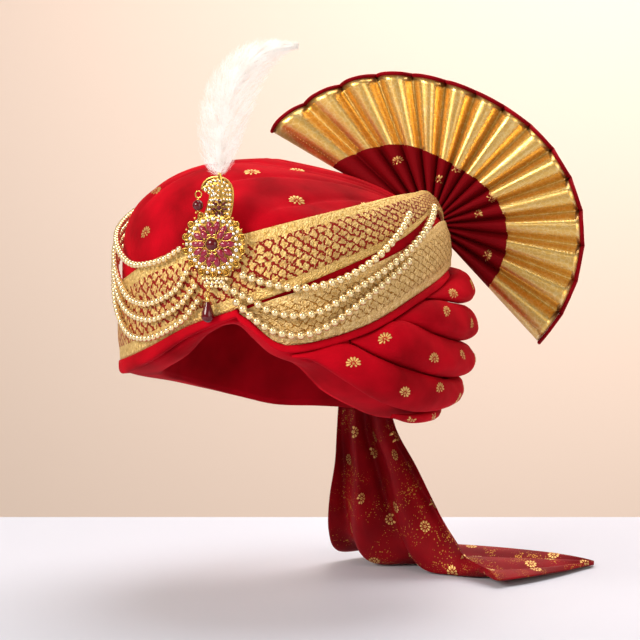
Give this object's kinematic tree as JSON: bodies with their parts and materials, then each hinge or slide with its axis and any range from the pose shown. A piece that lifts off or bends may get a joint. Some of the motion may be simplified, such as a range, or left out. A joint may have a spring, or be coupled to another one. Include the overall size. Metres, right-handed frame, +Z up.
{
  "type": "tied turban pagri",
  "caption": "Wound red velvet turban with crossed gold bands, puffed rolls, a pleated fan, a hanging tail, a jewelled brooch with a white plume, and strings of gold pearls.",
  "frame": {"origin": "middle of the head hollow at the height of the brow, where the turban sits on a head", "axes": "+Z up, the wearer faces -Y, and the wearer's left is +X"},
  "size_m": [0.3498, 0.3619, 0.4329],
  "materials": {
    "velvet": "plush red velvet with small gold motifs",
    "brocade": "woven gold thread over red",
    "fan_cloth": "pleated red cloth with a wide gold border",
    "tail_cloth": "thin red cloth with gold flowers",
    "gilt_metal": "polished gilt",
    "garnet": "polished dark red stone",
    "gold_pearl": "polished pale gold beads",
    "feather": "soft white down"
  },
  "bodies": {
    "root": {"crown_wrap": "velvet", "band_upper": "brocade", "band_lower": "brocade", "brow_roll": "velvet", "roll_top": "velvet", "roll_upper": "velvet", "roll_middle": "velvet", "roll_lower": "velvet", "roll_under": "velvet", "fan_pleats": "fan_cloth", "fan_piping": "velvet", "tail_cloth": "tail_cloth", "brooch_setting": "gilt_metal", "brooch_stone": "garnet", "mango_stone": "garnet", "side_ring": "gilt_metal", "side_bead": "garnet", "drop_link": "gilt_metal", "drop_stone": "garnet", "plume": "feather", "left_string_1": "gold_pearl", "left_string_2": "gold_pearl", "left_string_3": "gold_pearl", "left_string_4": "gold_pearl", "right_string_1": "gold_pearl", "right_string_2": "gold_pearl", "right_string_3": "gold_pearl", "string_bar": "gilt_metal"}
  },
  "joints": []
}
